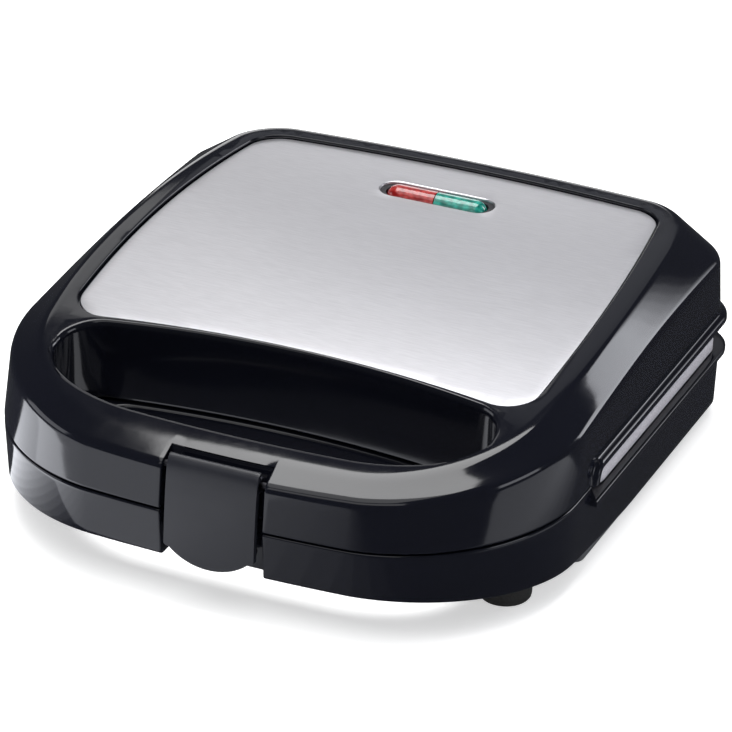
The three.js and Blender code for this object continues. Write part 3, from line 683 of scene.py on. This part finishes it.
def latch(material):
    steps = np.hypot(*np.diff(LATCH_SIDE, axis=0).T)
    down = np.concatenate([[0], np.cumsum(steps)])
    shape = latch_outline(down)
    flat = Skin()
    loop = flat.row(lift(shape, 0))
    flat.fill([loop], lambda px, py: 0, step=(3, 1.2))
    place = np.array(flat.points)
    fine = np.linspace(0, down[-1], 400)
    side_y = smooth(np.interp(fine, down, LATCH_SIDE[:, 0]), 9)
    side_z = smooth(np.interp(fine, down, LATCH_SIDE[:, 1]), 9)
    y = np.interp(place[:, 1], fine, side_y)
    z = np.interp(place[:, 1], fine, side_z)
    slope = np.arctan2(np.gradient(side_z, fine), np.gradient(side_y, fine))
    turn = np.interp(place[:, 1], fine, np.unwrap(slope))
    crown = 0.5 * (1 - (place[:, 0] / LATCH_HALF) ** 2)
    skin = Skin()
    front = np.column_stack([place[:, 0], y - crown * 0.25 + 0.12, z])
    thick = 2.4
    back = front + np.column_stack([np.zeros(len(y)), -np.sin(turn) * thick, np.cos(turn) * thick])
    a = skin.row(front)
    b = skin.row(back)
    for face in flat.faces:
        skin.faces.append(tuple(a[i] for i in face))
        skin.faces.append(tuple(b[i] for i in reversed(face)))
    skin.bridge(a[:len(loop)], b[:len(loop)])
    piece = make("latch_flap", skin, material, "latch", ["latch"], angle=50)
    soften(piece, 0.55, 3, 35)
    barrel(material)
    return piece


def smooth(values, width):
    padded = np.pad(values, width // 2, mode="reflect", reflect_type="odd")
    return np.convolve(padded, np.ones(width) / width, mode="valid")


def soften(piece, width, segments, angle):
    """Rounds a piece's edges and keeps the result as its mesh."""
    bevel = piece.modifiers.new("round", "BEVEL")
    bevel.width = width * MM
    bevel.segments = segments
    bevel.limit_method = "ANGLE"
    bevel.angle_limit = math.radians(angle)
    bevel.harden_normals = False
    apply_modifiers(piece)
    piece.data.shade_smooth()


def apply_modifiers(piece):
    graph = bpy.context.evaluated_depsgraph_get()
    mesh = bpy.data.meshes.new_from_object(piece.evaluated_get(graph))
    piece.modifiers.clear()
    piece.data = mesh


def turned(skin, profile, place, axis=2, count=40):
    """A turned shape from [radius, height] pairs, about X, Y or Z through a place."""
    angles = 2 * math.pi * np.arange(count) / count
    rows = []
    for radius, height in profile:
        ring = np.column_stack([radius * np.cos(angles), radius * np.sin(angles), np.full(count, height)])
        rows.append(np.roll(ring, axis - 2, 1) + place)
    return skin.stack(rows)


def barrel(material):
    """The latch's hinge barrel and the lip at its lower end."""
    skin = Skin()
    y, z = LATCH_PIVOT
    half = LATCH_HALF
    r = LATCH_BARREL
    profile = [(1.6, -half), (r - 0.4, -half), (r, -half + 0.4), (r, half - 0.4),
               (r - 0.4, half), (1.6, half), (1.6, -half)]
    turned(skin, profile, (0, y, z), axis=0, count=32)
    lip = [(-122.9, 29.2), (-122.4, 28.6), (-119.9, 27.6), (-119.6, 27.2), (-119.6, 26.0), (-120.0, 25.6),
           (-122.6, 25.6), (-123.4, 26.4)]
    bar_along_x(skin, lip, -half + 1.2, half - 1.2)
    return make("latch_barrel", skin, material, "latch", angle=35)


def bar_along_x(skin, section, x0, x1):
    """A bar with a section of [y, z] points, closed at both ends."""
    ends = [skin.row([(x, y, z) for y, z in section]) for x in (x0, x1)]
    skin.bridge(*ends)
    skin.faces.append(tuple(ends[0][::-1]))
    skin.faces.append(tuple(ends[1]))


# ---------------------------------------------------------------- plates

def plate(name, node, body, lip_height, tray, boss, material, flip, base):
    """One cooking plate, face up from its lip's underside, or turned over."""
    skin = Skin()
    edge = rounded_rectangle(PLATE_HALF, PLATE_FRONT, PLATE_BACK, 8)
    well = rounded_rectangle(PLATE_HALF - PLATE_LIP, PLATE_FRONT + PLATE_LIP, PLATE_BACK - PLATE_LIP, 6)
    foot = rounded_rectangle(100, -17, 85, 6)
    rows = [lift(grow(foot, -4), -boss), lift(foot, -boss), lift(foot, 0), lift(grow(edge, -0.8), 0),
            lift(grow(edge, -0.3), 0.12), lift(grow(edge, -0.05), 0.5), lift(edge, 1.0),
            lift(edge, lip_height - 1.2), lift(grow(edge, -0.1), lip_height - 0.6),
            lift(grow(edge, -0.4), lip_height - 0.18), lift(grow(edge, -1.0), lip_height)]
    rows += [lift(grow(well, 0.9), lip_height), lift(grow(well, 0.3), lip_height - 0.25),
             lift(well, lip_height - 0.8), lift(grow(well, -0.1), lip_height - tray + 1),
             lift(grow(well, -0.5), lip_height - tray + 0.25), lift(grow(well, -1.3), lip_height - tray)]
    made = skin.stack(rows)
    skin.fill([made[-1]], lambda px, py: lip_height - tray, step=(15, 15))
    skin.fill([made[0]], lambda px, py: -boss, step=(30, 30), up=False)
    pitch = (2 * (PLATE_HALF - PLATE_LIP) - 12) / (RIB_COUNT - 1)
    for i in range(RIB_COUNT):
        rib(skin, (i - (RIB_COUNT - 1) / 2) * pitch, lip_height - tray, tray - 0.7)
    points = np.array(skin.points)
    if flip:
        points[:, 2] *= -1
        points[:, 1] = PLATE_FRONT + PLATE_BACK - points[:, 1]
    skin.points = (points + [0, 0, base]).tolist()
    return make(name, skin, material, body, [node])


def rib(skin, x, floor, height):
    """A rounded rib from front to back, with sloping ends."""
    front = PLATE_FRONT + PLATE_LIP + 5
    back = PLATE_BACK - PLATE_LIP - 5
    section = np.array([(-3.4, 0), (-3.0, 0.25), (-2.6, 0.75), (-2.1, 0.94), (-1.2, 1), (1.2, 1), (2.1, 0.94),
                        (2.6, 0.75), (3.0, 0.25), (3.4, 0)])
    rows = []
    for y, tall, wide in ((front, 0, 0.7), (front + 0.5, 0.5, 0.9), (front + 1.6, 0.9, 1), (front + 3, 1, 1),
                          (back - 3, 1, 1), (back - 1.6, 0.9, 1), (back - 0.5, 0.5, 0.9), (back, 0, 0.7)):
        rows.append(np.column_stack([x + section[:, 0] * wide, np.full(10, y),
                                     floor - 0.02 + section[:, 1] * height * tall]))
    skin.stack(rows, closed=False)


# ---------------------------------------------------------------- feet and rails

def foot(name, x, y, material):
    skin = Skin()
    r = FOOT_RADIUS
    top = float(bottom_z(y)) + 0.6
    profile = [(0.1, 0.5), (r - 4, 0.5), (r - 3.6, 0), (r - 1.4, 0), (r - 0.7, 0.3), (r - 0.2, 0.9),
               (r, 1.8), (r + 0.4, top - 0.6), (r + 0.3, top - 0.15), (r - 0.4, top), (0.1, top)]
    turned(skin, profile, (x, y, 0))
    return make(name, skin, material, "base", [name.replace("rubber_", "")])


def rail(name, side, material):
    skin = Skin()
    shape = rounded_rectangle(5, -37, 18.5, 4.6) + [side * 105.8, 0]
    ceiling = bottom_z(shape[:, 1]) + 0.8
    rows = [lift(grow(shape, -3.5), 1.6), lift(grow(shape, -3.0), 1.1)]
    for depth in (0, 0.1, 0.35, 0.75, 1.2):
        rows.append(lift(grow(shape, -float(edge_round(np.array(depth), 1.2))), 0.7 + depth))
    rows += [lift(shape, 2 + (ceiling - 2) * s) for s in (0.5, 1)]
    made = skin.stack(rows)
    skin.fill([made[0]], lambda px, py: 1.6, step=(9, 9), up=False)
    return make(name, skin, material, "base", [name.replace("grained_", "")])


# ---------------------------------------------------------------- materials

def paint(name, color, roughness, metallic=0.0):
    """A material with its shader, for the functions below to finish."""
    material = bpy.data.materials.new(name)
    material.use_nodes = True
    shader = material.node_tree.nodes["Principled BSDF"]
    shader.inputs["Base Color"].default_value = (*color, 1)
    shader.inputs["Roughness"].default_value = roughness
    shader.inputs["Metallic"].default_value = metallic
    return material, shader


def node(material, kind, **settings):
    made = material.node_tree.nodes.new(kind)
    for key, value in settings.items():
        if hasattr(made, key):
            setattr(made, key, value)
        else:
            made.inputs[key.replace("_", " ")].default_value = value
    return made


def link(material, source, target):
    material.node_tree.links.new(source, target)


def place_in(material, stretch=(1, 1, 1)):
    """Object coordinates in metres, stretched."""
    coordinates = node(material, "ShaderNodeTexCoord")
    mapping = node(material, "ShaderNodeMapping")
    mapping.inputs["Scale"].default_value = stretch
    link(material, coordinates.outputs["Object"], mapping.inputs["Vector"])
    return mapping.outputs["Vector"]


def noise(material, scale, detail=3.0, stretch=(1, 1, 1), rough=0.5):
    made = node(material, "ShaderNodeTexNoise", Scale=scale, Detail=detail, Roughness=rough)
    link(material, place_in(material, stretch), made.inputs["Vector"])
    return made.outputs["Fac"]


def spread(material, value, low, high, start=0.3, end=0.7):
    """Maps a texture's value from start..end to low..high."""
    made = node(material, "ShaderNodeMapRange")
    made.inputs["From Min"].default_value = start
    made.inputs["From Max"].default_value = end
    made.inputs["To Min"].default_value = low
    made.inputs["To Max"].default_value = high
    link(material, value, made.inputs["Value"])
    return made.outputs["Result"]


def between(material, factor, first, second):
    made = node(material, "ShaderNodeMix", data_type="RGBA")
    for socket in made.inputs:
        if socket.type == "RGBA" and socket.name == "A":
            socket.default_value = (*first, 1)
        if socket.type == "RGBA" and socket.name == "B":
            socket.default_value = (*second, 1)
    link(material, factor, made.inputs[0])
    return [out for out in made.outputs if out.type == "RGBA"][0]


def bump(material, shader, height, strength, distance):
    made = node(material, "ShaderNodeBump", Strength=strength, Distance=distance)
    link(material, height, made.inputs["Height"])
    link(material, made.outputs["Normal"], shader.inputs["Normal"])


def gloss_black():
    material, shader = paint("gloss_black_plastic", (0.004, 0.0045, 0.008), 0.08)
    smudges = noise(material, 24, 5, rough=0.65)
    link(material, spread(material, smudges, 0.055, 0.14), shader.inputs["Roughness"])
    tint = between(material, noise(material, 9, 2), (0.0035, 0.004, 0.0065), (0.0055, 0.006, 0.0105))
    link(material, tint, shader.inputs["Base Color"])
    bump(material, shader, noise(material, 150, 2), 0.05, 0.0002)
    return material


def satin_slate():
    material, shader = paint("satin_slate_plastic", (0.012, 0.013, 0.019), 0.36)
    grain = noise(material, 3200, 2)
    link(material, spread(material, noise(material, 60, 4), 0.30, 0.42), shader.inputs["Roughness"])
    tint = between(material, noise(material, 30, 3), (0.010, 0.011, 0.016), (0.015, 0.016, 0.022))
    link(material, tint, shader.inputs["Base Color"])
    bump(material, shader, grain, 0.12, 0.00005)
    return material


def grained(name, dark, light, roughness=0.6, scale=2600, depth=0.0001):
    """Moulded plastic with a fine spark-eroded grain."""
    material, shader = paint(name, dark, roughness)
    grain = noise(material, scale, 3)
    link(material, between(material, spread(material, grain, 0, 1), dark, light), shader.inputs["Base Color"])
    worn = spread(material, noise(material, 45, 4), roughness - 0.08, roughness + 0.1)
    link(material, worn, shader.inputs["Roughness"])
    bump(material, shader, grain, 0.35, depth)
    return material


def brushed(name, dark, light, stretch, anisotropy=0.0, low=0.2, high=0.36, relief=0.25):
    """Brushed metal: thin streaks along one axis in colour, roughness and height."""
    material, shader = paint(name, light, 0.3, 1.0)
    streaks = noise(material, 1.0, 4, stretch, 0.6)
    broad = noise(material, 1.0, 3, tuple(s / 5 for s in stretch), 0.6)
    colour = between(material, spread(material, streaks, 0, 1), dark, light)
    link(material, colour, shader.inputs["Base Color"])
    link(material, spread(material, broad, low, high), shader.inputs["Roughness"])
    bump(material, shader, streaks, relief, 0.00004)
    if anisotropy:
        shader.inputs["Anisotropic"].default_value = anisotropy
        tangent = node(material, "ShaderNodeTangent", direction_type="UV_MAP", uv_map="across")
        link(material, tangent.outputs["Tangent"], shader.inputs["Tangent"])
    return material


def coated_iron():
    material, shader = paint("non_stick_coating", (0.2, 0.2, 0.21), 0.45)
    specks = noise(material, 2400, 2, rough=0.8)
    colour = between(material, spread(material, specks, 0, 1, 0.35, 0.65),
                     (0.30, 0.29, 0.32), (0.58, 0.57, 0.61))
    link(material, colour, shader.inputs["Base Color"])
    link(material, spread(material, noise(material, 70, 4), 0.36, 0.52), shader.inputs["Roughness"])
    bump(material, shader, specks, 0.3, 0.00006)
    return material


def coloured_lens(name, deep, bright):
    material, shader = paint(name, deep, 0.1)
    flakes = node(material, "ShaderNodeTexVoronoi", Scale=620.0)
    link(material, place_in(material, (0.7, 1, 1)), flakes.inputs["Vector"])
    mixed = between(material, spread(material, flakes.outputs["Distance"], 0, 1, 0.1, 0.75), bright, deep)
    link(material, mixed, shader.inputs["Base Color"])
    link(material, spread(material, noise(material, 300, 2), 0.06, 0.16), shader.inputs["Roughness"])
    shader.inputs["Subsurface Weight"].default_value = 0.15
    shader.inputs["Subsurface Scale"].default_value = 0.002
    shader.inputs["Coat Weight"].default_value = 0.5
    bump(material, shader, flakes.outputs["Distance"], 0.12, 0.0003)
    return material


def ceramic():
    material, shader = paint("steatite_ceramic", (0.74, 0.7, 0.62), 0.5)
    link(material, between(material, noise(material, 90, 4), (0.66, 0.62, 0.54), (0.8, 0.77, 0.7)),
         shader.inputs["Base Color"])
    link(material, spread(material, noise(material, 250, 3), 0.42, 0.62), shader.inputs["Roughness"])
    bump(material, shader, noise(material, 1800, 2), 0.2, 0.00006)
    return material


def lamp_glass(name, tint):
    material, shader = paint(name, tint, 0.08)
    shader.inputs["Transmission Weight"].default_value = 0.7
    link(material, spread(material, noise(material, 400, 2), 0.05, 0.14), shader.inputs["Roughness"])
    link(material, between(material, noise(material, 200, 2), tint, tuple(0.85 * c for c in tint)),
         shader.inputs["Base Color"])
    bump(material, shader, noise(material, 700, 2), 0.08, 0.00005)
    return material


# ---------------------------------------------------------------- camera and light

CAMERA_PLACE = (0.6003, -1.3384, 0.8128)
CAMERA_TURN = 23.952
CAMERA_RISE = 27.72
CAMERA_ROLL = 0.954
CAMERA_LENS = 211.65
COOL = (0.92, 0.94, 1)


def add_camera():
    data = bpy.data.cameras.new("camera")
    data.lens = CAMERA_LENS
    data.sensor_width = 36
    data.clip_start = 0.05
    data.clip_end = 20
    camera = bpy.data.objects.new("camera", data)
    bpy.context.scene.collection.objects.link(camera)
    az, el, roll = (math.radians(a) for a in (CAMERA_TURN, CAMERA_RISE, CAMERA_ROLL))
    right = Vector((math.cos(az), math.sin(az), 0))
    up = Vector((-math.sin(az) * math.sin(el), math.cos(az) * math.sin(el), math.cos(el)))
    back = right.cross(up)
    x = math.cos(roll) * right + math.sin(roll) * up
    y = math.cos(roll) * up - math.sin(roll) * right
    columns = Matrix((x, y, back)).transposed().to_4x4()
    columns.translation = CAMERA_PLACE
    camera.matrix_world = columns
    bpy.context.scene.camera = camera


def softbox(name, place, tilt, spin, size, radiance, color=(1, 1, 1), shine=True):
    """An area light that faces down, tilted about X and then turned about Z, in degrees."""
    data = bpy.data.lights.new(name, "AREA")
    data.shape = "RECTANGLE"
    data.size, data.size_y = size
    data.energy = radiance * math.pi * size[0] * size[1]
    data.color = color
    light = bpy.data.objects.new(name, data)
    bpy.context.scene.collection.objects.link(light)
    light.location = place
    light.rotation_euler = (math.radians(tilt), 0, math.radians(spin))
    light.visible_camera = False
    light.visible_glossy = shine


def faded(name, place, tilt, spin, size, radiance, fade, steps):
    """A softbox whose low X side, or high X side if fade is negative, dims in steps across a width."""
    softbox(name, place, tilt, spin, size, radiance, COOL)
    width = abs(fade) / steps
    side = -1 if fade > 0 else 1
    for i in range(steps):
        across = place[0] + side * (size[0] / 2 + width * (i + 0.5))
        share = (1 - (i + 0.5) / steps) ** 1.5
        softbox(f"{name}_{i}", (across, *place[1:]), tilt, spin, (width, size[1]), radiance * share, COOL)


def add_stage():
    skin = Skin()
    half = FLOOR_HALF
    corners = [(-half, -half, 0), (half, -half, 0), (half, half, 0), (-half, half, 0)]
    skin.faces.append(tuple(skin.row(corners)))
    mesh = bpy.data.meshes.new("floor")
    mesh.from_pydata((np.array(skin.points) * MM).tolist(), [], [tuple(map(int, skin.faces[0]))])
    floor = bpy.data.objects.new("floor", mesh)
    bpy.context.scene.collection.objects.link(floor)
    material, shader = paint("pale_floor", (0.9, 0.9, 0.9), 0.9)
    shader.inputs["Specular IOR Level"].default_value = 0.1
    shader.inputs["Emission Color"].default_value = (1, 1, 1, 1)
    shader.inputs["Emission Strength"].default_value = 0.55
    mesh.materials.append(material)
    floor.visible_glossy = False


def add_light():
    world = bpy.data.worlds.new("studio")
    world.use_nodes = True
    world.node_tree.nodes["Background"].inputs["Color"].default_value = (0.9, 0.93, 1, 1)
    world.node_tree.nodes["Background"].inputs["Strength"].default_value = 0.06
    scene = bpy.context.scene
    scene.world = world
    scene.view_settings.view_transform = "Standard"
    softbox("overhead", (-0.15, 0.32, 1.5), 0, 0, (1.1, 0.96), 6.2)
    softbox("overhead_front", (-0.15, -0.68, 1.5), 0, 0, (1.1, 1.0), 1.4)
    softbox("room", (0, -0.2, 1.9), 0, 0, (2.6, 2.6), 0.9, shine=False)
    softbox("back_low", (-0.62, 1.2, 0.27), -90, 0, (0.75, 0.42), 1.9)
    softbox("back_left", (-0.98, 1.2, 1.17), -90, 0, (0.64, 0.65), 1.1)
    softbox("back_fill", (-0.18, 1.25, 1.1), -90, 0, (0.9, 1.0), 0.3, COOL)
    faded("back_right", (1.16, 1.2, 0.57), -90, 0, (0.56, 0.75), 5.0, 0.3, 6)
    softbox("left", (-1.6, -0.6, 0.5), -90, 90, (1.0, 0.7), 1.6, COOL)
    softbox("front", (0, -1.6, 1.3), 90, 0, (1.6, 0.7), 1.2)
    softbox("right", (1.5, -0.15, 0.45), -90, -90, (0.6, 0.5), 2.5, COOL)
    # Lights lying on the floor stand for its bright and dark areas, which only the gloss shows.
    faded("floor_left", (-0.305, -0.14, 0.003), 180, 0, (0.32, 0.13), 3.6, -0.075, 12)
    softbox("floor_front", (-0.27, -0.285, 0.002), 180, 0, (0.48, 0.3), 1.3, COOL)
    faded("floor_middle", (-0.02, -0.285, 0.002), 180, 0, (0.02, 0.3), 0.7, -0.10, 8)
    faded("floor_right", (0.31, -0.06, 0.003), 180, 0, (0.2, 0.17), 0.9, 0.06, 5)
    softbox("floor_hole", (0, -0.077, 0.003), 180, 0, (0.15, 0.03), 1.2, COOL)


# ---------------------------------------------------------------- assembly

def assign(names, material):
    for name in names:
        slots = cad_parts[name].data.materials
        if len(slots):
            slots[0] = material
        else:
            slots.append(material)


def build():
    black = gloss_black()
    slate = satin_slate()
    moulded = grained("moulded_black", (0.010, 0.010, 0.012), (0.022, 0.022, 0.026), 0.55)
    steel = brushed("brushed_steel_panel", (0.555, 0.55, 0.575), (0.63, 0.625, 0.65), (140, 1900, 60), 0.5,
                    0.33, 0.35, 0.05)
    dark_steel = brushed("blackened_steel", (0.02, 0.02, 0.024), (0.06, 0.06, 0.066), (40, 1800, 1800))
    pin_steel = brushed("drawn_steel", (0.5, 0.5, 0.52), (0.72, 0.72, 0.74), (40, 1800, 1800))
    sheet = brushed("mill_aluminium", (0.6, 0.6, 0.62), (0.78, 0.78, 0.8), (30, 500, 500), low=0.3, high=0.5)
    heater = brushed("heated_steel", (0.2, 0.18, 0.16), (0.42, 0.38, 0.34), (120, 120, 120),
                     low=0.35, high=0.6)
    coating = coated_iron()
    rubber = grained("foot_rubber", (0.012, 0.012, 0.012), (0.03, 0.03, 0.03), 0.8, 1500)
    rail_plastic = grained("rail_plastic", (0.05, 0.052, 0.058), (0.14, 0.145, 0.155), 0.55, 1500, 0.0002)
    pale = ceramic()

    lid_housing(black)
    base_housing(black)
    top_panel(steel)
    red = coloured_lens("red_lens_plastic", (0.22, 0.006, 0.006), (0.47, 0.05, 0.045))
    lens("red_lens_bar", -1, red, "red_lens")
    green = coloured_lens("green_lens_plastic", (0.003, 0.13, 0.10), (0.03, 0.36, 0.28))
    lens("green_lens_bar", 1, green, "green_lens")
    latch(slate)
    plate("lower_plate", "lower_grill_plate", "base", 6.2, 3.4, 3, coating, False, BASE_RIM + 0.35)
    plate("upper_plate", "upper_grill_plate", "lid", 3.9, 2, 3.6, coating, True, LID_RIM - 0.35)
    for end, y in zip(("front", "rear"), FOOT_Y):
        for side, x in (("left", -FOOT_X), ("right", FOOT_X)):
            foot(f"rubber_foot_{end}_{side}", x, y, rubber)
    for side, sign in (("left", -1), ("right", 1)):
        rail(f"grained_cord_rail_{side}", sign, rail_plastic)

    assign(["lid_inner_frame", "bottom_cover", "indicator_bezel", "lamp_holder", "latch_catch"], moulded)
    assign([f"{who}_hinge_{side}" for who in ("base", "lid") for side in ("left", "right")], slate)
    assign(["latch_pin"], dark_steel)
    assign(["hinge_pin_left", "hinge_pin_right", "thermal_fuse"], pin_steel)
    assign(["upper_reflector", "lower_reflector"], sheet)
    assign(["upper_heating_element", "lower_heating_element"], heater)
    assign(["cord_gland"], rubber)
    assign(["thermostat", "terminal_block"], pale)
    assign([f"{deck}_terminal_{end}" for deck in ("upper", "lower") for end in ("front", "rear")], pale)
    assign(["power_lamp"], lamp_glass("red_lamp_glass", (0.9, 0.35, 0.22)))
    assign(["ready_lamp"], lamp_glass("green_lamp_glass", (0.35, 0.85, 0.6)))


add_camera()
add_stage()
add_light()
build()
